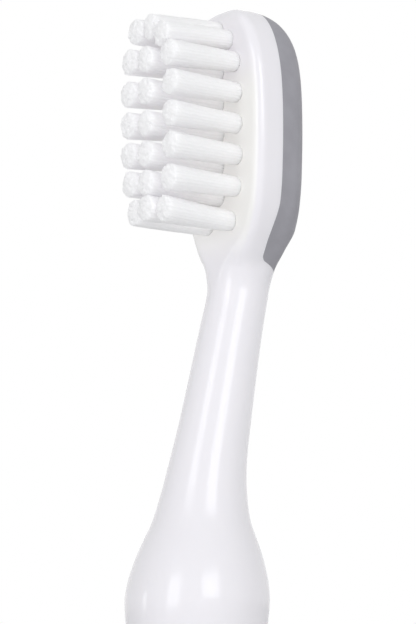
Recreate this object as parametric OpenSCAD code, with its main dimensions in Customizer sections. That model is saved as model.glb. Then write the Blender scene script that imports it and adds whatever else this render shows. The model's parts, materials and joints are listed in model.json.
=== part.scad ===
// Manual toothbrush: a one-piece white handle with a compact head, a soft pad
// over the back of the head, soft grips let into the handle, and tufts of
// filament held in blind holes by small metal anchors.
// The brush stands on the end of its handle: +Z runs to the tip of the head,
// -Y is the way that the bristles point, and X runs across the head.

/* [Bristle field] */
// Number of rows of tufts along the head, three tufts in each
rows = 7; // [5:1:8]
// Diameter of a tuft's hole
hole_d = 1.5; // [1.3:0.05:1.7]
// Depth of a tuft's hole below the face
hole_depth = 2.9; // [2.5:0.1:3]
// Wall between neighbouring holes across the head
column_wall = 1; // [0.7:0.05:1.2]
// Wall between neighbouring holes along the head
row_wall = 1.05; // [0.8:0.05:1.4]
// Wall between the three holes of the first and last rows, which lie on an arc
end_wall = 0.1; // [0.08:0.01:0.25]
// Slant of the arc in the row at the tip
tip_row_angle = 34; // [18:1:36]
// Slant of the arc in the row nearest the neck
heel_row_angle = 14; // [8:1:24]
// Step inwards of the outer holes in the rows next to the first and the last
next_row_step = 0.22; // [0:0.02:0.4]
// Step of the middle holes towards the neck in all but the first and last
// rows, as a share of the distance from row to row
middle_step_share = 0.2; // [0:0.02:0.24]

/* [Tufts] */
// Free length of the outer tufts above the face
tuft_len = 7.3; // [5:0.1:11]
// How much longer the tufts of the middle column are
middle_extra = 0.3; // [0:0.05:0.8]
// Lean of the outer tufts' tips away from the middle
splay = 0.6; // [0.2:0.05:1]
// How much wider a tuft is at its tip than its hole
tip_flare = 0.6; // [0.2:0.05:0.75]
// How far the rim of a tuft's rounded tip stands below its crown
dome_drop = 0.35; // [0:0.05:0.6]
// Width of one strand, across its flats
strand_w = 0.22; // [0.16:0.01:0.24]
// Clearance around a tuft's root in its hole
root_play = 0.04; // [0.02:0.01:0.1]
// Height of an anchor, from the hole's floor to the tuft's root
anchor_h = 1.3; // [1:0.1:1.6]
// Thickness of an anchor's strip
anchor_t = 0.25; // [0.2:0.05:0.4]

/* [Head] */
// Face left outside the outer holes on each side
side_margin = 2.15; // [1.6:0.05:3]
// Face left beyond the last row at the tip
tip_margin = 1.45; // [1.35:0.05:2.5]
// Length from the last row at the heel to the thinnest part of the neck
heel_margin = 5.1; // [4.6:0.1:8]
// Thickness of the head from its face to its back
head_t = 5.2; // [4.8:0.1:6]
// Radius of the edge between the face and the sides of the head
face_edge_r = 0.9; // [0.4:0.05:1.2]
// Radius of the edge round the back of the head
back_edge_r = 1.5; // [1:0.05:2]
// How far the face swells forward where the head runs into the neck
heel_swell = 0.3; // [0:0.05:0.5]
// Length over which the tip rounds off
tip_round = 1.4; // [0.8:0.1:2]

/* [Back pad] */
// Depth of the line where the pad meets the white head, below the face
pad_line = 2.5; // [2:0.1:2.9]
// Thickness of the pad over the back of the head
pad_back_t = 1.05; // [0.8:0.05:1.2]
// Thickness of the pad where it wraps the sides and the ends of the head
pad_wrap_t = 1.1; // [0.8:0.05:1.3]
// Depth of that line at the pad's lower end, where it bends towards the face
pad_heel_line = 2.1; // [1.9:0.05:2.4]
// Height of the bend's lower end above the thinnest part of the neck
pad_bend_height = 4; // [3.6:0.1:5]
// Length of the bend
pad_bend_len = 3.4; // [2:0.1:5]
// Distance of the pad's lower corners above the thinnest part of the neck
pad_heel_gap = 2.4; // [2:0.1:2.8]
// Radius of the lower corners
pad_corner_r = 0.6; // [0.3:0.05:0.8]
// Slope of the pad's lower edge, which falls towards the back
pad_heel_slant = 22; // [0:1:35]
// White plastic left behind the floor of a tuft's hole near the tip
hole_floor = 0.35; // [0.3:0.05:0.5]

/* [Neck] */
// Diameter of the neck at its thinnest
neck_d = 5; // [4.4:0.1:5.6]
// Depth of the neck's centre behind the face, at its thinnest
neck_set_back = 1.8; // [1.4:0.05:2.2]
// Length from the widest part of the bulb to the thinnest part of the neck
neck_len = 24.6; // [20:0.5:36]

/* [Handle] */
// Diameter of the bulb between the neck and the handle
bulb_d = 11.5; // [10:0.1:13]
// Lean of the bulb's centre towards the bristles
bulb_lean = 2.3; // [1.5:0.1:3]
// Length from the waist to the widest part of the bulb
bulb_rise = 9.9; // [8:0.1:14]
// Diameter of the waist below the bulb
waist_d = 9.4; // [8.6:0.1:10]
// Lean of the waist's centre towards the bristles
waist_lean = 2.5; // [1.5:0.1:3]
// Width of the handle where it fills the palm
grip_w = 13.4; // [12:0.1:15]
// Depth of the handle, front to back, where it fills the palm
grip_t = 13; // [12:0.1:15]
// Lean of the palm's centre towards the bristles
grip_lean = 1.4; // [0.5:0.1:2]
// Height of the palm's widest part above the end
grip_height = 44; // [36:1:52]
// Length from the palm's widest part to the waist
grip_rise = 48; // [42:1:60]
// Width of the handle just before its rounded end
end_w = 12.2; // [11:0.1:14]
// Length over which the end rounds off
end_round = 7; // [5:0.5:10]

/* [Grips] */
// Width of the soft thumb pad on the front of the handle
thumb_pad_w = 6.4; // [5:0.1:7]
// Length of the thumb pad
thumb_pad_len = 25; // [18:0.5:28]
// Height of the thumb pad's middle above the palm's widest part
thumb_pad_rise = 30; // [28:0.5:32]
// Width of the soft grip pad on the back of the handle
palm_pad_w = 8; // [6:0.1:8.6]
// Length of the palm pad
palm_pad_len = 62; // [40:1:66]
// Thickness of the soft grips on their middle line: in the middle of the thumb
// pad, and at both ends of the palm pad
grip_pad_t = 2.4; // [2:0.1:3]

/* [Hidden] */
// Overrun of a cut past the surface it opens
cut = 1;
// Points along each corner of a section of the handle
corner_points = 8;
// Facets of every true curve
round_facets = 48;
// Steps of a rounded corner that is drawn point by point
corner_steps = 6;
// Steps of the bend in the back pad's line
bend_steps = 8;

// Names: one node for each tuft, from the tip row down, beside the fixed pieces
columns = ["left", "middle", "right"];
TUFTS = [for (r = [1 : rows], c = columns) str("tuft_row", r, "_", c)];

// Field of tufts
row_pitch = hole_d + row_wall;
column_pitch = hole_d + column_wall;
end_pitch = hole_d + end_wall;
field_half = row_pitch * (rows - 1) / 2;
// Share of an end row's arc by which its middle tuft stands up, towards the
// tip; its outer tufts stand down by the rest
tip_arc_share = 0.38;
heel_arc_share = 0.65;

// Levels up the brush
palm_z = grip_height;
waist_z = palm_z + grip_rise;
thumb_z = palm_z + thumb_pad_rise;
bulb_z = waist_z + bulb_rise;
neck_z = bulb_z + neck_len;
field_z = neck_z + heel_margin + hole_d / 2 + field_half;
tip_z = field_z + field_half + hole_d / 2 + tip_margin;

// Head
head_w = 2 * column_pitch + hole_d + 2 * side_margin;
head_mid = head_t / 2;
upper_len = tip_z - field_z;
lower_len = field_z - neck_z;
// Squareness of the head's outline towards its tip
tip_power = 2.6;
// Lower outline of the head, up from the neck:
// share of the lower length, share of the half width gained, share of the
// way from the neck's round section to the head's square one
heel_shares = [
    [0.14, 0.07, 0.28],
    [0.26, 0.33, 0.75],
    [0.38, 0.63, 0.97],
    [0.52, 0.84, 1],
    [0.7, 0.95, 1]
];
// Share of the depth's square that is gone at the very tip
tip_fall_share = 0.86;
// Share of the head's thickness by which its back draws in towards the tip
back_fall_share = 0.46;
// Sharpness of that drawing-in
back_power = 6;
// Share of the upper length up to which the white core keeps its full depth
core_share = 0.72;
// Share of the pad's wrap left beyond the core at the tip
core_tip_share = 0.75;
// Upper outline of the head: share of the upper length at each section
crown_shares = [0.16, 0.32, 0.46, 0.58, 0.68, 0.76, 0.83, 0.885, 0.93, 0.965, 0.988, 1];

// Rounded end of the handle: share of the end's length, share of its half width
end_shares = [[0, 0.55], [0.06, 0.69], [0.2, 0.83], [0.5, 0.955], [1, 1]];
// Swell of the bulb, down and up from its widest part: share of the length to
// the waist or neck, share of the width lost
bulb_low_shares = [[0.2, 0.14], [0.42, 0.5], [0.66, 0.84]];
bulb_high_shares = [[0.05, 0.04], [0.1, 0.13], [0.15, 0.25], [0.2, 0.4], [0.25, 0.555],
    [0.31, 0.665], [0.4, 0.775], [0.52, 0.855], [0.7, 0.925], [0.87, 0.975]];
// Line of the neck: share of its length, share of the way back to its top
neck_line_shares = [[0.14, 0.056], [0.28, 0.122], [0.42, 0.24], [0.58, 0.444], [0.78, 0.7], [0.9, 0.86]];

// Value of a column of a table at height z, through smooth cubics that never
// overshoot the table's own values
function gap_slope(t, k, i) = (t[i + 1][k] - t[i][k]) / (t[i + 1][0] - t[i][0]);
function joined_slope(a, b, p, q) =
    a * b <= 0 ? 0 : 3 * (p + q) / ((2 * q + p) / a + (q + 2 * p) / b);
function node_slope(t, k, i) =
    i == 0 || i == len(t) - 1 ? 0 :
    joined_slope(gap_slope(t, k, i - 1), gap_slope(t, k, i),
        t[i][0] - t[i - 1][0], t[i + 1][0] - t[i][0]);
function blend_between(a, b, slope_a, slope_b, h, u) =
    a * (1 + 2 * u) * (1 - u) * (1 - u) + slope_a * h * u * (1 - u) * (1 - u)
    + b * u * u * (3 - 2 * u) - slope_b * h * u * u * (1 - u);
function column_at(t, k, z, i = 0) =
    z > t[i + 1][0] && i < len(t) - 2 ? column_at(t, k, z, i + 1) :
    blend_between(t[i][k], t[i + 1][k], node_slope(t, k, i), node_slope(t, k, i + 1),
        t[i + 1][0] - t[i][0], (z - t[i][0]) / (t[i + 1][0] - t[i][0]));

// Level of the back pad's lower corners
pad_heel_z = neck_z + pad_heel_gap;
// Level at which the face is flat, and level of the swell below it
heel_z = neck_z + heel_shares[2][0] * lower_len;
swell_z = neck_z + heel_shares[1][0] * lower_len;

// Line of the brush: height, and how far its centre lies behind the face
line_table = concat(
    [[0, 0], [palm_z, -grip_lean], [waist_z, -waist_lean], [bulb_z, -bulb_lean]],
    [for (s = neck_line_shares)
        [bulb_z + s[0] * neck_len, -bulb_lean + s[1] * (neck_set_back + bulb_lean)]],
    [[neck_z, neck_set_back], [swell_z, head_mid - heel_swell], [heel_z, head_mid], [tip_z, head_mid]]
);

// Half width of the brush up its height
width_table = concat(
    [for (s = end_shares) [s[0] * end_round, s[1] * end_w / 2]],
    [[palm_z, grip_w / 2], [waist_z, waist_d / 2]],
    [for (i = [len(bulb_low_shares) - 1 : -1 : 0]) let (s = bulb_low_shares[i])
        [bulb_z - s[0] * bulb_rise, (bulb_d - s[1] * (bulb_d - waist_d)) / 2]],
    [[bulb_z, bulb_d / 2]],
    [for (s = bulb_high_shares)
        [bulb_z + s[0] * neck_len, (bulb_d - s[1] * (bulb_d - neck_d)) / 2]],
    [[neck_z, neck_d / 2]],
    [for (s = heel_shares)
        [neck_z + s[0] * lower_len, (neck_d + s[1] * (head_w - neck_d)) / 2]],
    [[field_z, head_w / 2], [tip_z, head_w / 2]]
);

// Half depth of the brush, front to back
depth_table = concat(
    [for (s = end_shares) [s[0] * end_round, s[1] * end_w * grip_t / grip_w / 2]],
    [[palm_z, grip_t / 2]],
    [for (p = width_table) if (p[0] >= waist_z && p[0] <= neck_z) p],
    [[heel_z, head_mid], [tip_z, head_mid]]
);

// Roundness of the sections: radius of the corners at the front and at the
// back, as a share of the half depth or width, whichever is less
function roundness_table(edge_r) = concat(
    [[0, 1], [neck_z, 1]],
    [for (s = heel_shares) [neck_z + s[0] * lower_len, 1 - s[2] * (1 - edge_r / head_mid)]],
    [[tip_z, edge_r / head_mid]]
);
front_roundness = roundness_table(face_edge_r);
back_roundness = roundness_table(back_edge_r);

// Drawing-in of the head's outline towards its tip, and of its depth
function crown(z) =
    z <= field_z ? 1 : pow(1 - pow((z - field_z) / upper_len, tip_power), 1 / tip_power);
function tip_fall(z) =
    z <= tip_z - tip_round ? 1 : sqrt(1 - pow((z - tip_z + tip_round) / tip_round, 2) * tip_fall_share);
function back_fall(z) =
    z <= field_z ? 1 : 1 - back_fall_share * pow((z - field_z) / upper_len, back_power);

function half_width(z) = column_at(width_table, 1, z) * crown(z);
function half_depth(z) = column_at(depth_table, 1, z) * back_fall(z) * tip_fall(z);
function line_y(z) = column_at(line_table, 1, z) * back_fall(z);
function front_y(z) = line_y(z) - half_depth(z);
function back_y(z) = line_y(z) + half_depth(z);

// One closed section: a rectangle with round corners, which is a circle where
// the corners take all of it
function corner_angle(quarter, k) = 90 * (quarter + (k + 0.5) / corner_points);
function corner_point(w, d, r, a) =
    [sign(cos(a)) * (w - r) + r * cos(a), sign(sin(a)) * (d - r) + r * sin(a)];
function section(z) = let (w = half_width(z), d = half_depth(z), y = line_y(z),
        back_r = min(w, d) * column_at(back_roundness, 1, z),
        front_r = min(w, d) * column_at(front_roundness, 1, z))
    [for (quarter = [0 : 3], k = [0 : corner_points - 1])
        let (p = corner_point(w, d, quarter < 2 ? back_r : front_r, corner_angle(quarter, k)))
        [p[0], y + p[1], z]];

// Size of the flat left at the very tip, as a share of the last section
tip_flat_share = 0.14;

// Heights of the sections: between two levels in equal steps
function steps_between(a, b, n) = [for (i = [0 : n - 1]) a + (b - a) * i / n];
// Share of the neck's length that the upper side of the bulb takes
bulb_top_share = 0.36;
bulb_top_z = bulb_z + bulb_top_share * neck_len;
handle_levels = concat(
    [for (s = end_shares) if (s[0] < 1) s[0] * end_round],
    steps_between(end_round, palm_z, 4),
    steps_between(palm_z, waist_z, 6),
    steps_between(waist_z, bulb_z, 6),
    steps_between(bulb_z, bulb_top_z, 8),
    steps_between(bulb_top_z, neck_z, 6)
);
heel_top_z = neck_z + heel_shares[3][0] * lower_len;
head_levels = concat(
    steps_between(neck_z, heel_top_z, 9),
    steps_between(heel_top_z, field_z, 2),
    [field_z],
    [for (s = crown_shares) if (s < 1) field_z + s * upper_len]
);

// Solid through a list of sections, closed by a flat fan at both ends
module through_sections(sections) {
    n = len(sections[0]);
    last = len(sections) - 1;
    sides = [for (k = [0 : last - 1], i = [0 : n - 1]) let (j = (i + 1) % n)
        each [[k * n + i, (k + 1) * n + j, k * n + j], [k * n + i, (k + 1) * n + i, (k + 1) * n + j]]];
    low_fan = [for (i = [1 : n - 2]) [0, i, i + 1]];
    high_fan = [for (i = [1 : n - 2]) [last * n, last * n + i + 1, last * n + i]];
    polyhedron(points = [for (s = sections) each s], faces = concat(sides, low_fan, high_fan));
}

// White plastic, soft grey pads, metal strip and nylon filament
white_plastic = [0.93, 0.93, 0.95];
grey_pad = [0.59, 0.59, 0.61];
metal_strip = [0.78, 0.69, 0.42];
filament = [0.95, 0.95, 0.95];

// Places of the tufts: row r from the tip, side c of -1, 0 or 1 across the head.
// The end rows bend into arcs, and in the others the middle tuft steps down.
function arc_angle(r) = r == 0 ? tip_row_angle : heel_row_angle;
function is_end_row(r) = r == 0 || r == rows - 1;
function outer_x(r) =
    is_end_row(r) ? end_pitch * cos(arc_angle(r)) :
    column_pitch - (r == 1 || r == rows - 2 ? next_row_step : 0);
function rise_in_row(r, c) =
    !is_end_row(r) ? (c == 0 ? -middle_step_share * row_pitch : 0) :
    end_pitch * sin(arc_angle(r)) * ((r == 0 ? tip_arc_share : heel_arc_share) - abs(c));
function tuft_x(r, c) = c * outer_x(r);
function tuft_z(r, c) = field_z + field_half - r * row_pitch + rise_in_row(r, c);

// Places a child, drawn from z = 0 upwards, so that its z runs out of the face
module on_face(x, z) {
    translate([x, 0, z]) rotate([90, 0, 0]) children();
}

module brush_body() {
    last_z = head_levels[len(head_levels) - 1];
    tip_ring = [for (p = section(last_z))
        [p[0] * tip_flat_share, line_y(last_z) + (p[1] - line_y(last_z)) * tip_flat_share, tip_z]];
    through_sections(concat([for (z = concat(handle_levels, head_levels)) section(z)], [tip_ring]));
}

// Extrudes a flat shape drawn in X and Z along Y, from y = low to y = high
module through_y(low, high) {
    translate([0, high, 0]) rotate([90, 0, 0]) linear_extrude(high - low) children();
}

// Extrudes a flat shape drawn in Y and Z across the head
module through_x() {
    translate([-head_w, 0, 0]) rotate([90, 0, 90]) linear_extrude(2 * head_w) children();
}

// White plastic left standing inside the pad: the head's outline drawn in by
// the pad's wrap, up to the level top, and back as far as y = back
module core_plate(back, top) {
    foot = pad_heel_z + pad_wrap_t;
    between = [for (z = head_levels) if (z > foot && z < top) z];
    side = [for (z = concat([foot], between, [top])) [half_width(z) - pad_wrap_t, z]];
    mirrored = [for (i = [len(side) - 1 : -1 : 0]) [-side[i][0], side[i][1]]];
    through_y(pad_line - cut, back) polygon(concat(side, mirrored));
}

// Outline of the back pad from the side: the line where it meets the white
// head, a bend towards the face, a round corner and the sloping lower edge
module pad_outline() {
    corner_z = pad_heel_z + pad_corner_r;
    last_angle = 270 - pad_heel_slant;
    bend = [for (k = [0 : bend_steps]) let (s = 1 - k / bend_steps)
        [pad_heel_line + (pad_line - pad_heel_line) * (1 - cos(180 * s)) / 2,
            neck_z + pad_bend_height + s * pad_bend_len]];
    corner = [for (k = [0 : corner_steps]) let (a = 180 + (last_angle - 180) * k / corner_steps)
        [pad_heel_line + pad_corner_r * (1 + cos(a)), corner_z + pad_corner_r * sin(a)]];
    edge_end = corner[corner_steps];
    beyond = head_t + cut;
    fall = (beyond - edge_end[0]) * tan(pad_heel_slant);
    polygon(concat(
        [[pad_line, tip_z + cut]], bend, corner, [[beyond, edge_end[1] - fall], [beyond, tip_z + cut]]
    ));
}

// Space that the back pad takes from the head
module back_pad_space() {
    difference() {
        through_x() pad_outline();
        core_plate(head_t - pad_back_t, field_z + core_share * upper_len);
        core_plate(hole_depth + hole_floor, tip_z - core_tip_share * pad_wrap_t);
    }
}

// Rounded bar drawn upright in X and Z
module rounded_bar(width, height, middle) {
    straight = height - width;
    translate([0, middle]) {
        square([width, straight], center = true);
        for (end = [-1, 1]) translate([0, end * straight / 2]) circle(width / 2, $fn = round_facets);
    }
}

module thumb_space() {
    through_y(-grip_t, front_y(thumb_z) + grip_pad_t) rounded_bar(thumb_pad_w, thumb_pad_len, thumb_z);
}

// The palm pad's floor slopes as the handle's back does, between the pad's ends
module palm_space() {
    low_y = back_y(palm_z - palm_pad_len / 2);
    high_y = back_y(palm_z + palm_pad_len / 2);
    translate([0, (low_y + high_y) / 2 - grip_pad_t, palm_z])
        rotate([atan((low_y - high_y) / palm_pad_len), 0, 0])
            through_y(0, grip_t) rounded_bar(palm_pad_w, palm_pad_len, 0);
}

module handle() {
    color(white_plastic)
    difference() {
        brush_body();
        back_pad_space();
        thumb_space();
        palm_space();
        for (r = [0 : rows - 1], c = [-1 : 1])
            on_face(tuft_x(r, c), tuft_z(r, c))
                translate([0, 0, -hole_depth])
                    cylinder(d = hole_d, h = hole_depth + cut, $fn = round_facets);
    }
}

module head_back_pad() {
    color(grey_pad)
    intersection() {
        brush_body();
        back_pad_space();
    }
}

module thumb_pad() {
    color(grey_pad)
    intersection() {
        brush_body();
        thumb_space();
    }
}

module palm_pad() {
    color(grey_pad)
    intersection() {
        brush_body();
        palm_space();
    }
}

// One anchor in each hole, standing on the hole's floor across the head
anchor_w = sqrt(pow(hole_d - 2 * root_play, 2) - pow(anchor_t, 2));
module tuft_anchors() {
    color(metal_strip)
    for (r = [0 : rows - 1], c = [-1 : 1])
        translate([tuft_x(r, c), hole_depth - anchor_h / 2, tuft_z(r, c)])
            cube([anchor_w, anchor_h, anchor_t], center = true);
}

// Strands of one tuft: a middle strand and two rings round it, spreading
// from the root to the tip without crossing
strand_rings = 2;
// Depth to which a strand is fused into the tuft's root
root_sink = 0.3;
root_sides = 12;
strand_places = [for (k = [0 : strand_rings], i = [0 : max(1, 6 * k) - 1])
    let (a = 360 * i / max(1, 6 * k)) [k / strand_rings * cos(a), k / strand_rings * sin(a)]];
strand_corner = strand_w / sqrt(2);
root_ring = hole_d / 2 - root_play - strand_corner;
tip_ring_r = (hole_d + tip_flare) / 2 - strand_corner;

module strand(place, length, lean) {
    root = [place[0] * root_ring, place[1] * root_ring];
    reach = length - dome_drop * (place[0] * place[0] + place[1] * place[1]);
    tip = [place[0] * tip_ring_r + lean, place[1] * tip_ring_r];
    h = strand_w / 2;
    corners = [[-h, -h], [h, -h], [h, h], [-h, h]];
    below = root - (tip - root) * root_sink / reach;
    polyhedron(
        points = concat([for (q = corners) [below[0] + q[0], below[1] + q[1], -root_sink]],
            [for (q = corners) [tip[0] + q[0], tip[1] + q[1], reach]]),
        faces = [[0, 1, 2], [0, 2, 3], [4, 6, 5], [4, 7, 6], [0, 5, 1], [0, 4, 5], [1, 6, 2], [1, 5, 6],
            [2, 7, 3], [2, 6, 7], [3, 4, 0], [3, 7, 4]]);
}
module tuft(r, c) {
    root_len = hole_depth - anchor_h;
    color(filament)
    on_face(tuft_x(r, c), tuft_z(r, c)) {
        translate([0, 0, -root_len])
            cylinder(r = hole_d / 2 - root_play, h = root_len, $fn = root_sides);
        for (place = strand_places)
            strand(place, tuft_len + (c == 0 ? middle_extra : 0), c * splay);
    }
}

handle();
head_back_pad();
thumb_pad();
palm_pad();
tuft_anchors();
for (r = [0 : rows - 1], c = [-1 : 1])
    tuft(r, c);
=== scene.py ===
"""Looks of a manual toothbrush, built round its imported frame.

The brush stands on the end of its handle: +Z runs to the tip of the head,
-Y is the way that the bristles point, and X runs across the head.
"""
import json
import math
from collections import namedtuple

import bmesh
import bpy
import numpy as np
from mathutils import Matrix, Vector

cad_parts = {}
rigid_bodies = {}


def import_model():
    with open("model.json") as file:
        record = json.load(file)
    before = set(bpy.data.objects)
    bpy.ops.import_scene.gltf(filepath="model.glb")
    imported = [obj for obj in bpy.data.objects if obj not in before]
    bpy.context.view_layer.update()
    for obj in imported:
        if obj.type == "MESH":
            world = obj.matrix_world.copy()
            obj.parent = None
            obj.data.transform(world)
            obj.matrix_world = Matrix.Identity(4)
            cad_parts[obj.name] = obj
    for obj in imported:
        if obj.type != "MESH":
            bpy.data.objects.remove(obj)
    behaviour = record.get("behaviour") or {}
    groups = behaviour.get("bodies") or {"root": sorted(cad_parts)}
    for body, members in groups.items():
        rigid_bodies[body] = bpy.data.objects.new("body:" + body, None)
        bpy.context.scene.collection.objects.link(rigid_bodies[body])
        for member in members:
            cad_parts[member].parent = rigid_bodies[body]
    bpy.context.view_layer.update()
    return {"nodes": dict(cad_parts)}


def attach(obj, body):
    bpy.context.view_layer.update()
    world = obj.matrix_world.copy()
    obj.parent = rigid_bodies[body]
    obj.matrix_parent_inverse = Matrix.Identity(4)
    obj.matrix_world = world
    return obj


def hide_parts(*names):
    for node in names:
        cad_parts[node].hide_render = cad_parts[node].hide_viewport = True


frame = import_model()

MM = 0.001
FULL_TURN = 2 * math.pi
FRONT, BACK = -1, 1

# Field of tufts, as in the part's source
ROWS = 7
HOLE_R = 0.75 * MM
HOLE_DEPTH = 2.9 * MM
COLUMN_PITCH = 2.5 * MM
ROW_PITCH = 2.55 * MM
END_PITCH = 1.6 * MM
TIP_ROW_ANGLE = math.radians(34)
HEEL_ROW_ANGLE = math.radians(14)
TIP_ARC_SHARE = 0.38
HEEL_ARC_SHARE = 0.65
NEXT_ROW_STEP = 0.22 * MM
MIDDLE_STEP_SHARE = 0.2

# Levels up the brush
PALM_Z = 44 * MM
THUMB_Z = 74 * MM
WAIST_Z = 92 * MM
BULB_Z = 101.9 * MM
NECK_Z = 126.5 * MM
FIELD_Z = 140 * MM
TIP_Z = 149.85 * MM
LOWER_LEN = FIELD_Z - NECK_Z
UPPER_LEN = TIP_Z - FIELD_Z
NECK_LEN = NECK_Z - BULB_Z
BULB_RISE = BULB_Z - WAIST_Z

# Widths, depths and leans
HEAD_W = 10.8 * MM
HEAD_MID = 2.6 * MM
FACE_EDGE_R = 0.9 * MM
BACK_EDGE_R = 1.5 * MM
HEEL_SWELL = 0.3 * MM
TIP_ROUND = 1.4 * MM
NECK_D = 5 * MM
NECK_SET_BACK = 1.8 * MM
BULB_D = 11.5 * MM
BULB_LEAN = 2.3 * MM
WAIST_D = 9.4 * MM
WAIST_LEAN = 2.5 * MM
GRIP_W = 13.4 * MM
GRIP_T = 13 * MM
GRIP_LEAN = 1.4 * MM
END_W = 12.2 * MM
END_ROUND = 7 * MM
END_FLAT_SHARE = 0.55

# Shapes along the brush, as in the part's source, all as shares.
# Heel: level from the neck to the field, width gained, squareness of the section
HEEL_SHARES = [
    (0.14, 0.07, 0.28), (0.26, 0.33, 0.75), (0.38, 0.63, 0.97), (0.52, 0.84, 1), (0.7, 0.95, 1),
]

# Bulb: level from its middle to the waist or the neck, width lost on the way to theirs
BULB_LOW_SHARES = [(0.66, 0.84), (0.42, 0.5), (0.2, 0.14)]
BULB_HIGH_SHARES = [
    (0.05, 0.04), (0.1, 0.13), (0.15, 0.25), (0.2, 0.4), (0.25, 0.555),
    (0.31, 0.665), (0.4, 0.775), (0.52, 0.855), (0.7, 0.925), (0.87, 0.975),
]

# Neck: level from the bulb to the neck, way gone from the bulb's lean to the neck's set-back
NECK_LINE_SHARES = [
    (0.14, 0.056), (0.28, 0.122), (0.42, 0.24), (0.58, 0.444), (0.78, 0.7), (0.9, 0.86),
]

# Rounding of the head's outline and of its back towards the tip
TIP_POWER = 2.6
TIP_FALL_SHARE = 0.86
BACK_FALL_SHARE = 0.46
BACK_POWER = 6

# Back pad, as in the part's source
PAD_LINE = 2.5 * MM
PAD_HEEL_LINE = 2.1 * MM
PAD_BEND_HEIGHT = 4 * MM
PAD_BEND_LEN = 3.4 * MM
PAD_BACK_T = 1.05 * MM
PAD_WRAP_T = 1.1 * MM
PAD_HEEL_Z = NECK_Z + 2.4 * MM
PAD_HEEL_SLANT = math.radians(22)
PAD_CORNER_R = 0.6 * MM
HOLE_FLOOR = 0.35 * MM
CORE_SHARE = 0.72
CORE_TIP_SHARE = 0.75

# Grips let into the handle
Grip = namedtuple("Grip", "width length middle side grooves groove_pitch")
THUMB_GRIP = Grip(6.4 * MM, 25 * MM, THUMB_Z, FRONT, 9, 2.1 * MM)
PALM_GRIP = Grip(8 * MM, 62 * MM, PALM_Z, BACK, 21, 2.6 * MM)
GRIP_PAD_T = 2.4 * MM
GRIP_EDGE_R = 0.3 * MM

# Grooves across the grips: half as wide as this share of their pitch, and faded out at the edge
GROOVE_DEPTH = 0.4 * MM
GROOVE_HALF_SHARE = 0.32
GROOVE_MARGIN = 0.6 * MM
GROOVE_FADE = 0.5 * MM

# Rounded rims, which end a little before they lie flat, so that their cut crosses the surface
HOLE_RIM_R = 0.045 * MM
GRIP_RIM_R = 0.22 * MM
RIM_TURN = math.radians(76)

# How far a cutter reaches past the surface that it cuts
OVERRUN = 1 * MM

# Fineness of the meshes: points round a loop or along a line, and loops
QUARTER_STEPS = 36
HOLE_STEPS = 40
HOLE_RIM_LOOPS = 5
END_LOOPS = 14
TIP_LOOPS = 48
LAST_TIP_TURN = math.radians(88.6)
GRIP_LEVEL_STEP = 1.2 * MM
BULB_LEVEL_STEP = 0.4 * MM
HEEL_LEVEL_STEP = 0.2 * MM
PAD_CORNER_POINTS = 13
PAD_BEND_POINTS = 25
CORE_LEVELS = 60
GRIP_END_STEPS = 24
GRIP_SIDE_STEP = 0.16 * MM
GRIP_FLOOR_LOOPS = 9
GRIP_RIM_LOOPS = 6
GRIP_EDGE_LOOPS = 7
GRIP_TOP_LOOPS = 16

# Points closer than this are one, and edges sharper than this stay sharp
WELD = 1e-8
SHARP_ANGLE = math.radians(32)


def smoothstep(value, start, length):
    """0 up to start, 1 from length past it, and an S-shaped rise between."""
    t = np.clip((value - start) / length, 0, 1)
    return t ** 2 * (3 - 2 * t)


def smooth_through(points):
    """Function through (level, value) points by cubics that never overshoot."""
    z, v = (np.array(column, float) for column in zip(*points))
    gap = np.diff(z)
    slope = np.diff(v) / gap

    # The curve lies level where its values turn, and else takes a mean of the slopes beside it
    at = np.zeros(len(z))
    for i in range(1, len(z) - 1):
        before, after = slope[i - 1], slope[i]
        if before * after > 0:
            p, q = gap[i - 1], gap[i]
            at[i] = 3 * (p + q) / ((2 * q + p) / before + (q + 2 * p) / after)

    def value(level):
        level = np.clip(np.asarray(level, float), z[0], z[-1])
        i = np.clip(np.searchsorted(z, level, side="right") - 1, 0, len(gap) - 1)
        u = (level - z[i]) / gap[i]
        rest = (1 - u) ** 2
        return (
            v[i] * (1 + 2 * u) * rest + at[i] * gap[i] * u * rest
            + v[i + 1] * u * u * (3 - 2 * u) - at[i + 1] * gap[i] * u * u * (1 - u)
        )

    return value


def heel_level(share):
    """Level that share of the way up from the neck to the field."""
    return NECK_Z + share * LOWER_LEN


def bulb_point(level, lost_share, narrow):
    """Level and half width, where that share of the bulb's width over narrow is lost."""
    return (level, (BULB_D - lost_share * (BULB_D - narrow)) / 2)


SWELL_Z = heel_level(HEEL_SHARES[1][0])
FULL_DEPTH_Z = heel_level(HEEL_SHARES[2][0])
BULB_WIDTHS = (
    [bulb_point(BULB_Z - s * BULB_RISE, lost, WAIST_D) for s, lost in BULB_LOW_SHARES]
    + [(BULB_Z, BULB_D / 2)]
    + [bulb_point(BULB_Z + s * NECK_LEN, lost, NECK_D) for s, lost in BULB_HIGH_SHARES]
    + [(NECK_Z, NECK_D / 2)]
)
HEEL_WIDTHS = [
    (heel_level(s), (NECK_D + gained * (HEAD_W - NECK_D)) / 2) for s, gained, _ in HEEL_SHARES
]
NECK_LINE = [
    (BULB_Z + s * NECK_LEN, -BULB_LEAN + back * (NECK_SET_BACK + BULB_LEAN))
    for s, back in NECK_LINE_SHARES
]

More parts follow.
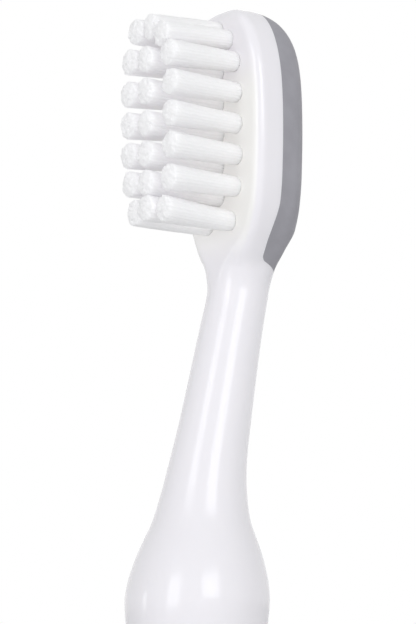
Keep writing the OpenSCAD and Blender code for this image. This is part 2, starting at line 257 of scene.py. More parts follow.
# Half width, half depth and middle line, before the two ends are rounded
raw_width = smooth_through(
    [(0, END_W / 2), (PALM_Z, GRIP_W / 2), (WAIST_Z, WAIST_D / 2)]
    + BULB_WIDTHS + HEEL_WIDTHS
    + [(FIELD_Z, HEAD_W / 2), (TIP_Z, HEAD_W / 2)]
)
raw_depth = smooth_through(
    [(0, END_W * GRIP_T / GRIP_W / 2), (PALM_Z, GRIP_T / 2), (WAIST_Z, WAIST_D / 2)]
    + BULB_WIDTHS
    + [(FULL_DEPTH_Z, HEAD_MID), (TIP_Z, HEAD_MID)]
)
raw_line = smooth_through(
    [(0, 0), (PALM_Z, -GRIP_LEAN), (WAIST_Z, -WAIST_LEAN), (BULB_Z, -BULB_LEAN)]
    + NECK_LINE
    + [(NECK_Z, NECK_SET_BACK), (SWELL_Z, HEAD_MID - HEEL_SWELL)]
    + [(FULL_DEPTH_Z, HEAD_MID), (TIP_Z, HEAD_MID)]
)


def roundness(edge_r):
    """Radius of a section's corners, as a share of its half depth or width."""
    edge_share = edge_r / HEAD_MID
    heel = [(heel_level(s), 1 - square * (1 - edge_share)) for s, _, square in HEEL_SHARES]
    return smooth_through([(0, 1), (NECK_Z, 1)] + heel + [(TIP_Z, edge_share)])


corner_shares = {FRONT: roundness(FACE_EDGE_R), BACK: roundness(BACK_EDGE_R)}


def upper_share(z):
    """0 up to the field's middle and 1 at the tip."""
    return np.clip((np.asarray(z, float) - FIELD_Z) / UPPER_LEN, 0, 1)


def back_fall(z):
    """Share of the head's depth that is left, as its back falls to the tip."""
    return 1 - BACK_FALL_SHARE * upper_share(z) ** BACK_POWER


def end_rounding(z):
    """Share of the section that is left at the handle's rounded end."""
    share = np.clip(np.asarray(z, float) / END_ROUND, 0, 1)
    return END_FLAT_SHARE + (1 - END_FLAT_SHARE) * np.sqrt(1 - (1 - share) ** 2)


def half_width(z):
    """Half the width, across the head, at z."""
    crown = (1 - upper_share(z) ** TIP_POWER) ** (1 / TIP_POWER)
    return raw_width(z) * crown * end_rounding(z)


def half_depth(z):
    """Half the depth, from front to back, at z."""
    past = np.clip((np.asarray(z, float) - TIP_Z + TIP_ROUND) / TIP_ROUND, 0, 1)
    tip_rounding = np.sqrt(1 - past ** 2 * TIP_FALL_SHARE)
    return raw_depth(z) * back_fall(z) * tip_rounding * end_rounding(z)


def line_y(z):
    """Y of the brush's middle line at z."""
    return raw_line(z) * back_fall(z)


def section(z, angles):
    """Points of the section at z, on rays at the angles from its middle."""
    w, d = float(half_width(z)), float(half_depth(z))
    front_r, back_r = (min(w, d) * float(corner_shares[side](z)) for side in (FRONT, BACK))
    r = np.where(np.sin(angles) > 0, back_r, front_r)

    # Each ray meets a straight side, or the arc of a corner
    x, y = np.abs(w * np.cos(angles)), np.abs(d * np.sin(angles))
    reach = 1 / np.maximum(x / w, y / d)
    in_corner = (x * reach > w - r) & (y * reach > d - r)
    along = x * (w - r) + y * (d - r)
    square = x * x + y * y
    under_root = along ** 2 - square * ((w - r) ** 2 + (d - r) ** 2 - r * r)
    corner_reach = (along + np.sqrt(np.maximum(under_root, 0))) / square
    reach = np.where(in_corner, corner_reach, reach)
    return np.stack([
        x * reach * np.sign(np.cos(angles)),
        line_y(z) + y * reach * np.sign(np.sin(angles)),
        np.full(len(angles), z),
    ], axis=1)


def surface_y(x, z, side):
    """Where the brush's front or back lies at x and z."""
    w, d = half_width(z), half_depth(z)
    r = np.minimum(w, d) * corner_shares[side](z)
    over = np.clip(np.abs(x) - (w - r), 0, r)
    return line_y(z) + side * (d - r + np.sqrt(np.maximum(r * r - over * over, 0)))


def ring_angles():
    """Angles round a section, closer together towards its corners."""
    t = (np.arange(QUARTER_STEPS) + 0.5) / QUARTER_STEPS * 2 - 1
    quarter = math.pi / 4 * (1 + (t + t ** 3) / 2)
    return np.concatenate([quarter + k * math.pi / 2 for k in range(4)])


def mesh_object(name, points, faces):
    """New object in the scene, with a mesh of its own."""
    mesh = bpy.data.meshes.new(name)
    mesh.from_pydata([tuple(p) for p in points], [], faces)
    mesh.validate()
    obj = bpy.data.objects.new(name, mesh)
    bpy.context.scene.collection.objects.link(obj)
    return obj


def face_outwards(obj):
    """Welds points that lie together, and turns all faces outwards."""
    bm = bmesh.new()
    bm.from_mesh(obj.data)
    bmesh.ops.remove_doubles(bm, verts=bm.verts, dist=WELD)
    bmesh.ops.recalc_face_normals(bm, faces=bm.faces)
    bm.to_mesh(obj.data)
    bm.free()
    return obj


def loop_faces(steps, loops, first=0, low_cap=True, high_cap=True):
    """Faces of a solid through loops of steps points each, from the point first on."""
    last = first + (loops - 1) * steps
    faces = [
        (k + i, k + (i + 1) % steps, k + steps + (i + 1) % steps, k + steps + i)
        for k in range(first, last, steps) for i in range(steps)
    ]
    if high_cap:
        faces.append(tuple(range(last, last + steps)))
    if low_cap:
        faces.append(tuple(range(first + steps - 1, first - 1, -1)))
    return faces


def through_loops(name, loops, **caps):
    """Closed solid through loops of like length; an end that narrows to a line has no cap."""
    faces = loop_faces(len(loops[0]), len(loops), **caps)
    return face_outwards(mesh_object(name, np.concatenate(loops), faces))


def levels_between(low, high, step):
    """Levels from low up to high, high left out, about step apart."""
    return list(np.linspace(low, high, max(2, round((high - low) / step) + 1))[:-1])


def tip_levels():
    """Levels towards the tip, spaced so that the outline turns evenly."""
    turns = [LAST_TIP_TURN * k / TIP_LOOPS for k in range(TIP_LOOPS + 1)]
    return [FIELD_Z + UPPER_LEN * math.sin(turn) ** (2 / TIP_POWER) for turn in turns]


def end_levels():
    """Levels of the handle's rounded end, spaced in the same way."""
    return [END_ROUND * (1 - math.cos(math.pi / 2 * k / END_LOOPS)) for k in range(END_LOOPS)]


def brush_body(name, low):
    """The whole outer form, from the level low up to the tip."""
    levels = (
        end_levels()
        + levels_between(END_ROUND, WAIST_Z, GRIP_LEVEL_STEP)
        + levels_between(WAIST_Z, NECK_Z, BULB_LEVEL_STEP)
        + levels_between(NECK_Z, FIELD_Z, HEEL_LEVEL_STEP)
        + tip_levels()
    )
    angles = ring_angles()
    return through_loops(name, [section(z, angles) for z in levels if z >= low])


def prism(name, outline, low, high, along_x=False):
    """Flat outline, extruded: one in X and Z along Y, or one in Y and Z along X."""
    a, z = np.array(outline).T
    ends = [np.full(len(a), end) for end in (low, high)]
    loops = [np.stack([end, a, z] if along_x else [a, end, z], axis=1) for end in ends]
    return through_loops(name, loops)


def boolean(obj, other, operation):
    """Cuts obj by other, or down to what lies in both, and uses other up."""
    step = obj.modifiers.new("step", "BOOLEAN")
    step.operation = operation
    step.solver = "EXACT"
    step.object = other
    bpy.context.view_layer.update()
    shaped = obj.evaluated_get(bpy.context.evaluated_depsgraph_get())
    result = bpy.data.meshes.new_from_object(shaped)
    obj.modifiers.clear()
    old, obj.data = obj.data, result
    bpy.data.meshes.remove(old)
    bpy.data.objects.remove(other)


def shade(obj):
    """Smooth shading that keeps sharp edges."""
    obj.data.shade_smooth()
    bm = bmesh.new()
    bm.from_mesh(obj.data)
    for edge in bm.edges:
        edge.smooth = len(edge.link_faces) == 2 and edge.calc_face_angle(0) < SHARP_ANGLE
    bm.to_mesh(obj.data)
    bm.free()


def even_normals(obj):
    """Lets wide flat faces keep one even reflection up to their edges."""
    step = obj.modifiers.new("even", "WEIGHTED_NORMAL")
    step.keep_sharp = True
    step.weight = 100


def finished(obj, material, slot, *nodes):
    """Gives a piece its material and its body, and hides the nodes that it stands for."""
    obj.data.materials.clear()
    obj.data.materials.append(material)
    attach(obj, "root")
    if nodes:
        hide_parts(*nodes)


TUFTS = [(row, column) for row in range(ROWS) for column in (-1, 0, 1)]


def tuft_place(row, column):
    """X and Z of a tuft's hole: row 0 is at the tip, column -1, 0 or 1 across."""
    if row in (0, ROWS - 1):
        angle = TIP_ROW_ANGLE if row == 0 else HEEL_ROW_ANGLE
        share = TIP_ARC_SHARE if row == 0 else HEEL_ARC_SHARE
        across = END_PITCH * math.cos(angle)
        rise = END_PITCH * math.sin(angle) * (share - abs(column))
    else:
        across = COLUMN_PITCH - NEXT_ROW_STEP * (row in (1, ROWS - 2))
        rise = -MIDDLE_STEP_SHARE * ROW_PITCH if column == 0 else 0
    return column * across, FIELD_Z + ((ROWS - 1) / 2 - row) * ROW_PITCH + rise


def hole_cutter():
    """All the tuft holes in one mesh, each with a softly rounded rim."""
    rim = [
        (HOLE_R + HOLE_RIM_R * (1 - math.cos(a)), HOLE_RIM_R * (1 - math.sin(a)))
        for a in np.linspace(0, RIM_TURN, HOLE_RIM_LOOPS)
    ]
    profile = [(HOLE_R, HOLE_DEPTH)] + rim + [(rim[-1][0], -OVERRUN)]
    turn = np.linspace(0, FULL_TURN, HOLE_STEPS, endpoint=False)
    points, faces = [], []
    for row, column in TUFTS:
        x, z = tuft_place(row, column)
        faces += loop_faces(HOLE_STEPS, len(profile), first=len(points))
        for r, y in profile:
            points += [(x + r * math.cos(a), y, z + r * math.sin(a)) for a in turn]
    return face_outwards(mesh_object("hole_cutter", points, faces))


def pad_outline():
    """Outline in Y and Z, drawn from the side, of the room behind the pad's parting line."""
    r, middle_z = PAD_CORNER_R, PAD_HEEL_Z + PAD_CORNER_R
    corner = [
        (PAD_HEEL_LINE + r + r * math.cos(a), middle_z + r * math.sin(a))
        for a in np.linspace(math.pi, 1.5 * math.pi - PAD_HEEL_SLANT, PAD_CORNER_POINTS)
    ]
    bend = [
        (PAD_HEEL_LINE + (PAD_LINE - PAD_HEEL_LINE) * (1 - math.cos(math.pi * t)) / 2,
         NECK_Z + PAD_BEND_HEIGHT + t * PAD_BEND_LEN)
        for t in np.linspace(1, 0, PAD_BEND_POINTS)
    ]
    top, back_y = TIP_Z + OVERRUN, 2 * HEAD_MID + OVERRUN
    back_z = corner[-1][1] - (back_y - corner[-1][0]) * math.tan(PAD_HEEL_SLANT)
    return [(PAD_LINE, top)] + bend + corner + [(back_y, back_z), (back_y, top)]


def head_core(back, top):
    """Middle of the head that the pad wraps, as far back and up as given."""
    levels = np.linspace(PAD_HEEL_Z + PAD_WRAP_T, top, CORE_LEVELS)
    side = [(float(half_width(z)) - PAD_WRAP_T, z) for z in levels]
    outline = side + [(-x, z) for x, z in reversed(side)]
    return prism("core", outline, PAD_LINE - OVERRUN, back)


def pad_space():
    """Space that the back pad takes from the head."""
    space = prism("pad_space", pad_outline(), -HEAD_W, HEAD_W, along_x=True)
    for core in (
        head_core(2 * HEAD_MID - PAD_BACK_T, FIELD_Z + CORE_SHARE * UPPER_LEN),
        head_core(HOLE_DEPTH + HOLE_FLOOR, TIP_Z - CORE_TIP_SHARE * PAD_WRAP_T),
    ):
        boolean(space, core, "DIFFERENCE")
    return space


def grip_outline(grip, inset):
    """X and Z round a grip, which is a rounded bar, drawn in by inset."""
    r, straight = grip.width / 2, (grip.length - grip.width) / 2
    turn = np.linspace(0, math.pi, GRIP_END_STEPS + 1)[:-1]
    run = np.linspace(-1, 1, round(2 * straight / GRIP_SIDE_STEP) + 1)[:-1]
    end = [((r - inset) * math.cos(a), straight + (r - inset) * math.sin(a)) for a in turn]
    half = end + [(-(r - inset), -straight * t) for t in run]
    x, z = np.array(half + [(-x, -z) for x, z in half]).T
    return x, z + grip.middle


def grip_loop(grip, inset, depth):
    """Loop that far in from a grip's outline and that deep in the handle."""
    x, z = grip_outline(grip, inset)
    return np.stack([x, surface_y(x, z, grip.side) - grip.side * depth, z], axis=1)


def grip_floor(grip):
    """Loops of a grip's underside, from its middle line out to its edge."""
    insets = np.linspace(grip.width / 2, 0, GRIP_FLOOR_LOOPS)
    return [grip_loop(grip, inset, GRIP_PAD_T) for inset in insets]


def grip_space(name, grip):
    """Recess for a grip, with its rim rounded into the handle's surface."""
    loops = grip_floor(grip)
    for a in np.linspace(0, RIM_TURN, GRIP_RIM_LOOPS):
        inset, depth = -GRIP_RIM_R * (1 - math.cos(a)), GRIP_RIM_R * (1 - math.sin(a))
        loops.append(grip_loop(grip, inset, depth))
    top = loops[-1].copy()
    top[:, 1] = grip.side * (np.max(np.abs(surface_y(0, top[:, 2], grip.side))) + OVERRUN)
    return through_loops(name, loops + [top], low_cap=False)


def groove_depth(grip, inset):
    """Depth of a grip's bowed grooves along its outline drawn in by inset."""
    x, z = grip_outline(grip, inset)
    bowed = z - grip.middle + grip.side * x * x / grip.width
    levels = (np.arange(grip.grooves) - (grip.grooves - 1) / 2) * grip.groove_pitch
    away = np.min(np.abs(bowed[:, None] - levels[None, :]), axis=1)
    shape = np.clip(1 - (away / (GROOVE_HALF_SHARE * grip.groove_pitch)) ** 2, 0, 1) ** 2
    return GROOVE_DEPTH * shape * smoothstep(inset, GROOVE_MARGIN, GROOVE_FADE)


def grip_pad(name, grip):
    """Soft grip: rounded at its edge, with bowed grooves across it."""
    r = GRIP_EDGE_R
    insets = [r * (1 - math.cos(a)) for a in np.linspace(0, math.pi / 2, GRIP_EDGE_LOOPS)]
    insets += list(np.linspace(r, grip.width / 2, GRIP_TOP_LOOPS)[1:])
    loops = grip_floor(grip)
    for inset in insets:
        drop = r - math.sqrt(max(r ** 2 - max(r - inset, 0) ** 2, 0))
        loops.append(grip_loop(grip, inset, drop + groove_depth(grip, inset)))
    return through_loops(name, loops, low_cap=False, high_cap=False)


# Tufts: names of the visible pieces and of the nodes that they replace
TUFT_NAME = "bristles_"
TUFT_NODE = "tuft_"
TUFT_SEED = 21

# Filaments: a middle one and rings round it, their spacing and radius up the tuft
FILAMENT_RINGS = 4
ROOT_SPACING = 0.147 * MM
MOUTH_SPACING = 0.17 * MM
TIP_SPACING = 0.22 * MM
MOUTH_START = -0.3 * MM
MOUTH_LEN = 0.5 * MM
MOUTH_R = 0.145 * MM
FILAMENT_R = 0.19 * MM

# How long the tufts are, how deep they stand and how far the outer columns splay
TUFT_LEN = 7.02 * MM
MIDDLE_EXTRA = 0.34 * MM
FIRST_MIDDLE_LEN = 6.9 * MM
ROOT_LEN = 1.6 * MM
SPLAY = 0.5 * MM

# How far each tuft's tip stands above its hole: left, middle and right, row by row
TIP_RISES = (
    (0.42 * MM, -0.45 * MM, -0.43 * MM),
    (0.05 * MM, 0.3 * MM, -0.1 * MM),
    (0, 0.26 * MM, 0.05 * MM),
    (0, 0.2 * MM, 0.1 * MM),
    (0.1 * MM, 0.3 * MM, 0.15 * MM),
    (0.3 * MM, 0.5 * MM, 0.1 * MM),
    (0.55 * MM, 0.3 * MM, 0.4 * MM),
)
RISE_POWER = 1.2

# Ends: how much lower the outer filaments end, how round each is, how deep the pits between are
DOME_DROP = 0.1 * MM
END_DOME = 0.1 * MM
END_PIT = 0.14 * MM

# Unevenness of the filaments' lengths, and of their places at the tip
LENGTH_SPREAD = 0.045 * MM
BEND_SPREAD = 0.02 * MM
BEND_POWER = 1.3

# Mesh of a tuft: loops at shares of its root, below 0, and of its length
TUFT_STEPS = 168
CAP_STEPS = 17
LEVEL_SHARES = (-1, -0.35, -0.1, 0, 0.03, 0.07, 0.14, 0.26, 0.4, 0.55, 0.7, 0.84, 0.95)

# A point this many radii from a filament's middle still counts as on it
ON_EDGE = 1.001


def filament_places(rng):
    """Places in a tuft, in steps of the spacing: a middle one and rings round it."""
    places = [(0.0, 0.0)]
    for ring in range(1, FILAMENT_RINGS + 1):
        start = rng.uniform(0, FULL_TURN)
        for i in range(6 * ring):
            a = start + FULL_TURN * i / (6 * ring)
            places.append((ring * math.cos(a), ring * math.sin(a)))
    return np.array(places)


class Tuft:
    """Packed, round-ended filaments that spread from their hole, in one fluted body."""

    def __init__(self, row, column, rng):
        self.hole_x, self.hole_z = tuft_place(row, column)
        self.length = TUFT_LEN + (MIDDLE_EXTRA if column == 0 else 0)
        if (row, column) == (0, 0):
            self.length = FIRST_MIDDLE_LEN
        self.splay = column * SPLAY
        self.rise = TIP_RISES[row][column + 1]
        self.places = filament_places(rng)
        out = np.hypot(*self.places.T) / FILAMENT_RINGS
        uneven = rng.normal(0, LENGTH_SPREAD, len(self.places))
        self.reach = self.length - DOME_DROP * out ** 2 + uneven
        self.bend = rng.normal(0, BEND_SPREAD, (len(self.places), 2))
        turn = np.linspace(0, FULL_TURN, TUFT_STEPS, endpoint=False)
        self.ways = np.stack([np.cos(turn), np.sin(turn)], axis=1)

    def share_up(self, height):
        """0 at the hole's mouth and 1 at the tip."""
        return np.clip(height / self.length, 0, 1)

    def filaments(self, height):
        """Middles of the filaments round the tuft's own middle, and their radius."""
        up = self.share_up(height)
        spacing = (
            ROOT_SPACING
            + (MOUTH_SPACING - ROOT_SPACING) * smoothstep(height, MOUTH_START, MOUTH_LEN)
            + (TIP_SPACING - MOUTH_SPACING) * up
        )
        centres = self.places * spacing + self.bend * up ** BEND_POWER
        return centres, MOUTH_R + (FILAMENT_R - MOUTH_R) * up

    def outline(self, height):
        """How far out the filaments reach each way, and which of them does."""
        centres, r = self.filaments(height)
        along = centres @ self.ways.T
        under_root = r * r - np.sum(centres ** 2, axis=1)[:, None] + along ** 2
        far = np.where(under_root > 0, along + np.sqrt(np.maximum(under_root, 0)), 0)
        return np.max(far, axis=0), np.argmax(far, axis=0)

    def placed(self, flat, height):
        """Points at those heights, from flat ones round the tuft's own middle."""
        up = self.share_up(height)
        middle = np.stack([self.splay * up, self.rise * up ** RISE_POWER], axis=-1)
        across, level = (flat + middle).T
        return np.stack([self.hole_x + across, -height, self.hole_z + level], axis=1)

    def side_loops(self):
        """Loops from the root up to where the filaments' ends begin to round."""
        _, outer = self.outline(self.length)
        top = self.reach[outer] - END_DOME
        loops = []
        for share in LEVEL_SHARES:
            level = share * (ROOT_LEN if share < 0 else self.length)
            far, _ = self.outline(level)
            height = np.full(TUFT_STEPS, level) if share < 0 else share * top
            loops.append(self.placed(self.ways * far[:, None], height))
        return loops

    def cap_loops(self):
        """Loops over the filaments' ends, from the rim in to the middle."""
        rim, _ = self.outline(self.length)
        centres, r = self.filaments(self.length)
        loops = []
        for share in np.linspace(1, 0, CAP_STEPS)[:-1]:
            flat = self.ways * rim[:, None] * share
            away = np.hypot(*(flat[:, None, :] - centres[None, :, :]).transpose(2, 0, 1)) / r
            ends = self.reach - END_DOME * (1 - np.sqrt(np.clip(1 - away ** 2, 0, 1)))
            ends = np.max(np.where(away < ON_EDGE, ends, 0), axis=1)
            pit = self.length - DOME_DROP * share ** 2 - END_PIT
            loops.append(self.placed(flat, np.maximum(ends, pit)))
        return loops


# Colours, the lowest and the highest where they vary
PLASTIC_WHITES = (0.845, 0.832, 0.86), (0.86, 0.846, 0.872)
# Lighter, warmer white painted on the bristle face: painted light bounced from the tufts
BOUNCE_LIGHT_PAINT = (0.88, 0.876, 0.848)
PAD_GREYS = (0.3, 0.296, 0.322), (0.332, 0.328, 0.357)
WARM_NYLONS = (0.992, 0.966, 0.957), (1.0, 0.985, 0.975)
# Cool white painted on the tufts' lit ends; the warm nylon left nearer the roots is painted warm
# shade between the tufts
PAINTED_TIP_COOL = (0.99, 0.975, 1.0)
BRASSES = (0.74, 0.63, 0.37), (0.84, 0.74, 0.47)
FLOOR_GREYS = (0.85, 0.85, 0.85), (0.87, 0.87, 0.87)

# Where the painted warm light bounced from the tufts starts and is full on the bristle face:
# above the heel, below the tip and from behind
BOUNCE_PAINT_ABOVE_HEEL = NECK_Z + 2 * MM, NECK_Z + 6 * MM
BOUNCE_PAINT_BELOW_TIP = FIELD_Z + 6 * MM, FIELD_Z + 2 * MM
BOUNCE_PAINT_ON_FACE = 0.35 * MM, 0.05 * MM

# Where along the bristles the painted cool of the lit tips starts and is full; nearer the roots
# the warm nylon stays, as painted warm shade between the tufts
PAINTED_TIP_COOL_SPAN = -2 * MM, -7 * MM

# Nearly all of a noise's values lie between these
NOISE_LOW, NOISE_HIGH = 0.3, 0.7


def add_node(tree, kind, inputs, **settings):
    """New shader node, each of its inputs given as a value or as the output that feeds it."""
    node = tree.nodes.new("ShaderNode" + kind)
    for name, value in settings.items():
        setattr(node, name, value)
    for socket, value in inputs.items():
        if isinstance(value, bpy.types.NodeSocket):
            tree.links.new(value, node.inputs[socket])
        else:
            node.inputs[socket].default_value = value
    return node


class Shader:
    """A Principled material whose colour and roughness vary, each between two values."""

    def __init__(self, name, colours, roughness, values=()):
        self.material = bpy.data.materials.new(name)
        self.material.use_nodes = True
        self.tree = self.material.node_tree
        self.surface = self.tree.nodes["Principled BSDF"]
        self.colours = [(*colour, 1) for colour in colours]
        self.roughness = roughness
        self.place = add_node(self.tree, "TexCoord", {}).outputs["Object"]

        # The plain values, which show where the nodes aren't read, are the means
        plain = {"Base Color": np.mean(self.colours, axis=0), "Roughness": np.mean(roughness)}
        for socket, value in {**plain, **dict(values)}.items():
            self.surface.inputs[socket].default_value = value

    def feed(self, socket, source):
        """Feeds one of the surface's inputs from a node's output."""
        self.tree.links.new(source, self.surface.inputs[socket])

    def stretched(self, *scale):
        """The object's own coordinates, stretched along each axis."""
        inputs = {"Vector": self.place, "Scale": scale}
        return add_node(self.tree, "Mapping", inputs).outputs["Vector"]

    def noise(self, scale, detail=2, place=None):
        """Noise of that many waves per metre."""
        inputs = {"Vector": place or self.place, "Scale": scale, "Detail": detail}
        return add_node(self.tree, "TexNoise", inputs).outputs["Fac"]

    def between(self, noise, low, high):
        """A noise, spread from low to high."""
        inputs = {
            "Value": noise, "From Min": NOISE_LOW, "From Max": NOISE_HIGH,
            "To Min": low, "To Max": high,
        }
        return add_node(self.tree, "MapRange", inputs).outputs["Result"]

    def along(self, axis, start, end):
        """0 up to start and 1 from end, along one of the object's own axes."""
        place = add_node(self.tree, "SeparateXYZ", {"Vector": self.place}).outputs[axis]
        inputs = {
            "Value": place, "From Min": min(start, end), "From Max": max(start, end),
            "To Min": float(start > end), "To Max": float(start < end),
        }
        smooth = add_node(self.tree, "MapRange", inputs, interpolation_type="SMOOTHSTEP")
        return smooth.outputs["Result"]

    def mixed(self, share, low, high):
        """Colour from low to high, by a share from 0 to 1."""
        inputs = {"Factor": share, "A": low, "B": high}
        return add_node(self.tree, "Mix", inputs, data_type="RGBA").outputs["Result"]

    def colour(self, noise):
        """The material's own colour, varied by a noise."""
        return self.mixed(self.between(noise, 0, 1), *self.colours)

    def tinted(self, colour, tint, *shares):
        """colour, turned to tint where all the shares are 1."""
        share = shares[0]
        for other in shares[1:]:
            both = add_node(self.tree, "Math", {0: share, 1: other}, operation="MULTIPLY")
            share = both.outputs["Value"]
        return self.mixed(share, colour, (*tint, 1))

    def roughen(self, noise):
        """Varies the roughness by a noise."""
        self.feed("Roughness", self.between(noise, *self.roughness))

    def bump(self, noise, height):
        """Relief of that height by a noise."""
        inputs = {"Height": noise, "Distance": height, "Strength": 1}
        self.feed("Normal", add_node(self.tree, "Bump", inputs).outputs["Normal"])


def white_plastic():
    """Glossy white moulding: faint flow marks, marks of handling in the gloss, and a bristle face
    painted lighter and warmer as if lit by light bounced from the tufts.
    """
    s = Shader("white_plastic", PLASTIC_WHITES, (0.14, 0.18), {
        "IOR": 1.46, "Subsurface Weight": 0.12,
        "Subsurface Radius": (1.0, 0.95, 0.9), "Subsurface Scale": 1.2 * MM,
    })
    # Painted light: the bristle face is tinted lighter and warmer, as if lit by light bounced
    # from the tufts
    bounce_paint_mask = (
        s.along("Z", *BOUNCE_PAINT_ABOVE_HEEL),
        s.along("Z", *BOUNCE_PAINT_BELOW_TIP),
        s.along("Y", *BOUNCE_PAINT_ON_FACE),
    )
    s.feed("Base Color", s.tinted(s.colour(s.noise(90)), BOUNCE_LIGHT_PAINT, *bounce_paint_mask))
    s.roughen(s.noise(260, detail=4))
    s.bump(s.noise(420, detail=1), 0.004 * MM)
    return s.material


def grey_pad():
    """Soft satin elastomer with a fine moulded grain."""
    s = Shader("grey_pad", PAD_GREYS, (0.44, 0.58))
    s.feed("Base Color", s.colour(s.noise(700, detail=3)))
    s.roughen(s.noise(1500))
    s.bump(s.noise(9000), 0.012 * MM)
    return s.material


def filament():
    """Nylon filament: slightly see-through, streaked along its length, painted warm towards the
    roots for the shade between the tufts and cool at the tip for its lit end.
    """
    s = Shader("filament", WARM_NYLONS, (0.28, 0.42), {
        "IOR": 1.53, "Subsurface Weight": 1.0,
        "Subsurface Radius": (1.0, 1.0, 1.0), "Subsurface Scale": 0.9 * MM,
    })
    streaks = s.noise(1, place=s.stretched(6000, 260, 6000))
    # Painted shade and light: warm towards the roots, where shade lies between the tufts, cool
    # towards the lit tips
    s.feed("Base Color", s.tinted(s.colour(streaks), PAINTED_TIP_COOL, s.along("Y", *PAINTED_TIP_COOL_SPAN)))
    s.roughen(s.noise(3000))
    return s.material


def metal_strip():
    """Drawn strip, with fine lines along it."""
    s = Shader("metal_strip", BRASSES, (0.22, 0.4), {"Metallic": 1.0})
    lines = s.noise(1, detail=3, place=s.stretched(300, 9000, 9000))
    s.feed("Base Color", s.colour(lines))
    s.roughen(lines)
    s.bump(lines, 0.005 * MM)
    return s.material


def pale_floor():
    """Matt floor, very slightly clouded."""
    s = Shader("pale_floor", FLOOR_GREYS, (0.9, 0.9))
    s.feed("Base Color", s.colour(s.noise(3)))
    return s.material


def build_handle(material):
    """The white moulding, with its tuft holes and the room for its three pads."""
    handle = brush_body("handle_moulding", 0)
    boolean(handle, pad_space(), "DIFFERENCE")
    boolean(handle, grip_space("thumb_space", THUMB_GRIP), "DIFFERENCE")
    boolean(handle, grip_space("palm_space", PALM_GRIP), "DIFFERENCE")
    boolean(handle, hole_cutter(), "DIFFERENCE")
    shade(handle)
    even_normals(handle)
    finished(handle, material, "white_plastic", "handle")


def build_pads(material):
    """The pad on the head's back and the two grips."""
    cover = brush_body("head_back_cover", PAD_HEEL_Z - OVERRUN)
    boolean(cover, pad_space(), "INTERSECT")
    for piece, node in (
        (cover, "head_back_pad"),
        (grip_pad("thumb_grip", THUMB_GRIP), "thumb_pad"),
        (grip_pad("palm_grip", PALM_GRIP), "palm_pad"),
    ):
        shade(piece)
        finished(piece, material, "grey_pad", node)


def build_tufts(material):
    """All the tufts, row by row."""
    rng = np.random.default_rng(TUFT_SEED)
    sides = {-1: "left", 0: "middle", 1: "right"}
    for row, column in TUFTS:
        tuft = Tuft(row, column, rng)
        place = f"row{row + 1}_{sides[column]}"
        piece = through_loops(TUFT_NAME + place, tuft.side_loops() + tuft.cap_loops())
        piece.data.shade_smooth()
        finished(piece, material, "filament", TUFT_NODE + place)


def aimed(place, target, roll=0.0):
    """Matrix that stands at place and looks at target."""
    back = (Vector(place) - Vector(target)).normalized()
    right = Vector((0, 0, 1)).cross(back).normalized()
    up = back.cross(right)
    turn = Matrix((right, up, back)).transposed().to_4x4()
    return Matrix.Translation(place) @ turn @ Matrix.Rotation(roll, 4, "Z")


# The photograph's view: 2453 pixels of focal length over 624 pixels of height
CAMERA_PLACE = (159.886 * MM, -114.045 * MM, 102.181 * MM)
CAMERA_TARGET = (-0.536 * MM, -0.759 * MM, 125.008 * MM)
CAMERA_ROLL = math.radians(-0.249)
CAMERA_NEAR = 0.01
CAMERA_FAR = 20
SENSOR = 36
FOCAL_SHARE = 2453 / 624


def add_camera():
    """Camera at the photograph's place and angle."""
    data = bpy.data.cameras.new("camera")
    data.sensor_width = SENSOR
    data.lens = SENSOR * FOCAL_SHARE
    data.clip_start = CAMERA_NEAR
    data.clip_end = CAMERA_FAR
    camera = bpy.data.objects.new("camera", data)
    bpy.context.scene.collection.objects.link(camera)
    camera.matrix_world = aimed(CAMERA_PLACE, CAMERA_TARGET, CAMERA_ROLL)
    bpy.context.scene.camera = camera


# Lamps: direction from the brush in degrees, width and height in metres, radiance
Lamp = namedtuple("Lamp", "azimuth elevation width height radiance in_gloss through_tufts")
LAMPS = {
    "front_softbox": Lamp(75, 5, 1.8, 1.2, 1.5, in_gloss=False, through_tufts=False),
    "left_strip": Lamp(16, 15, 0.9, 1.6, 3.2, in_gloss=True, through_tufts=True),
    "right_strip": Lamp(77, 20.5, 1.15, 1.1, 3.6, in_gloss=True, through_tufts=True),
    "side_strip": Lamp(-37, 5, 0.3, 0.7, 2.6, in_gloss=True, through_tufts=False),
    "back_softbox": Lamp(240, 12, 1.6, 1.0, 3.0, in_gloss=False, through_tufts=False),
}
LAMP_DISTANCE = 2.5
LAMP_TARGET = (0, 0, 125 * MM)

# The lamps are a little cool, which the warm nylon evens out
COOL_WHITE = (0.965, 0.97, 1)


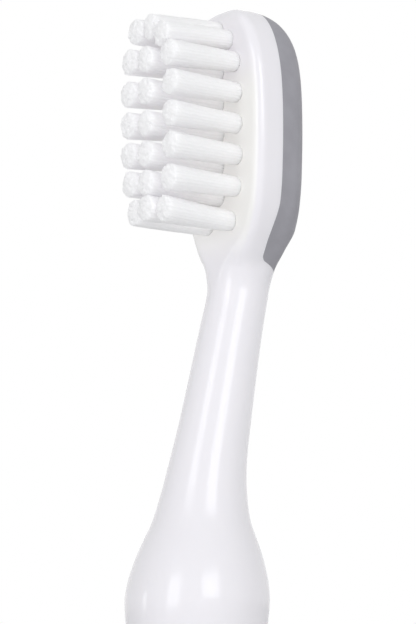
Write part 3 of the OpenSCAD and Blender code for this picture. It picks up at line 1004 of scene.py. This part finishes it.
def add_lamp(name, lamp):
    """Rectangular soft light that faces the brush."""
    a, e = math.radians(lamp.azimuth), math.radians(lamp.elevation)
    way = Vector((math.sin(a) * math.cos(e), -math.cos(a) * math.cos(e), math.sin(e)))
    data = bpy.data.lights.new(name, "AREA")
    data.shape = "RECTANGLE"
    data.size = lamp.width
    data.size_y = lamp.height
    data.energy = lamp.radiance * lamp.width * lamp.height * math.pi
    data.color = COOL_WHITE
    light = bpy.data.objects.new(name, data)
    bpy.context.scene.collection.objects.link(light)
    light.matrix_world = aimed(Vector(LAMP_TARGET) + LAMP_DISTANCE * way, LAMP_TARGET)
    light.visible_glossy = lamp.in_gloss
    light.visible_camera = False
    return light


def firm_pieces():
    """Collection of all but the tufts, whose pale nylon lets light through."""
    firm = bpy.data.collections.new("firm_pieces")
    for obj in bpy.data.objects:
        if obj.type == "MESH" and not obj.name.startswith((TUFT_NAME, TUFT_NODE)):
            firm.objects.link(obj)
    return firm


def add_lights():
    """Two wide strips make the long highlights, a third the small one at the bulb's side."""
    firm = firm_pieces()
    for name, lamp in LAMPS.items():
        light = add_lamp(name, lamp)
        if lamp.through_tufts:
            light.light_linking.blocker_collection = firm


WHITE = (1, 1, 1, 1)
AMBIENT = 0.5


def add_world():
    """White where the camera, gloss or glass sees it, plain soft light elsewhere."""
    world = bpy.data.worlds.new("studio")
    bpy.context.scene.world = world
    world.use_nodes = True
    tree = world.node_tree
    tree.nodes.clear()
    rays = add_node(tree, "LightPath", {}).outputs
    seen = rays["Is Camera Ray"]
    for other in ("Is Glossy Ray", "Is Transmission Ray"):
        either = add_node(tree, "Math", {0: seen, 1: rays[other]}, operation="MAXIMUM")
        seen = either.outputs["Value"]
    strength = add_node(tree, "MapRange", {"Value": seen, "To Min": AMBIENT, "To Max": 1})
    background = add_node(tree, "Background", {
        "Color": WHITE, "Strength": strength.outputs["Result"],
    })
    add_node(tree, "OutputWorld", {"Surface": background.outputs["Background"]})


# The floor lies a hair under the brush's end, so that the two faces don't meet
FLOOR_R = 3.0
FLOOR_STEPS = 96
FLOOR_DROP = 0.02 * MM


def add_floor():
    """Plain round floor that the brush stands on."""
    turn = np.linspace(0, FULL_TURN, FLOOR_STEPS, endpoint=False)
    rim = [(FLOOR_R * math.cos(a), FLOOR_R * math.sin(a), -FLOOR_DROP) for a in turn]
    floor = mesh_object("floor", rim, [tuple(range(FLOOR_STEPS))])
    floor.data.materials.append(pale_floor())


build_handle(white_plastic())
build_pads(grey_pad())
build_tufts(filament())
finished(frame["nodes"]["tuft_anchors"], metal_strip(), "metal_strip")
add_floor()
add_camera()
add_lights()
add_world()
bpy.context.scene.view_settings.view_transform = "Standard"
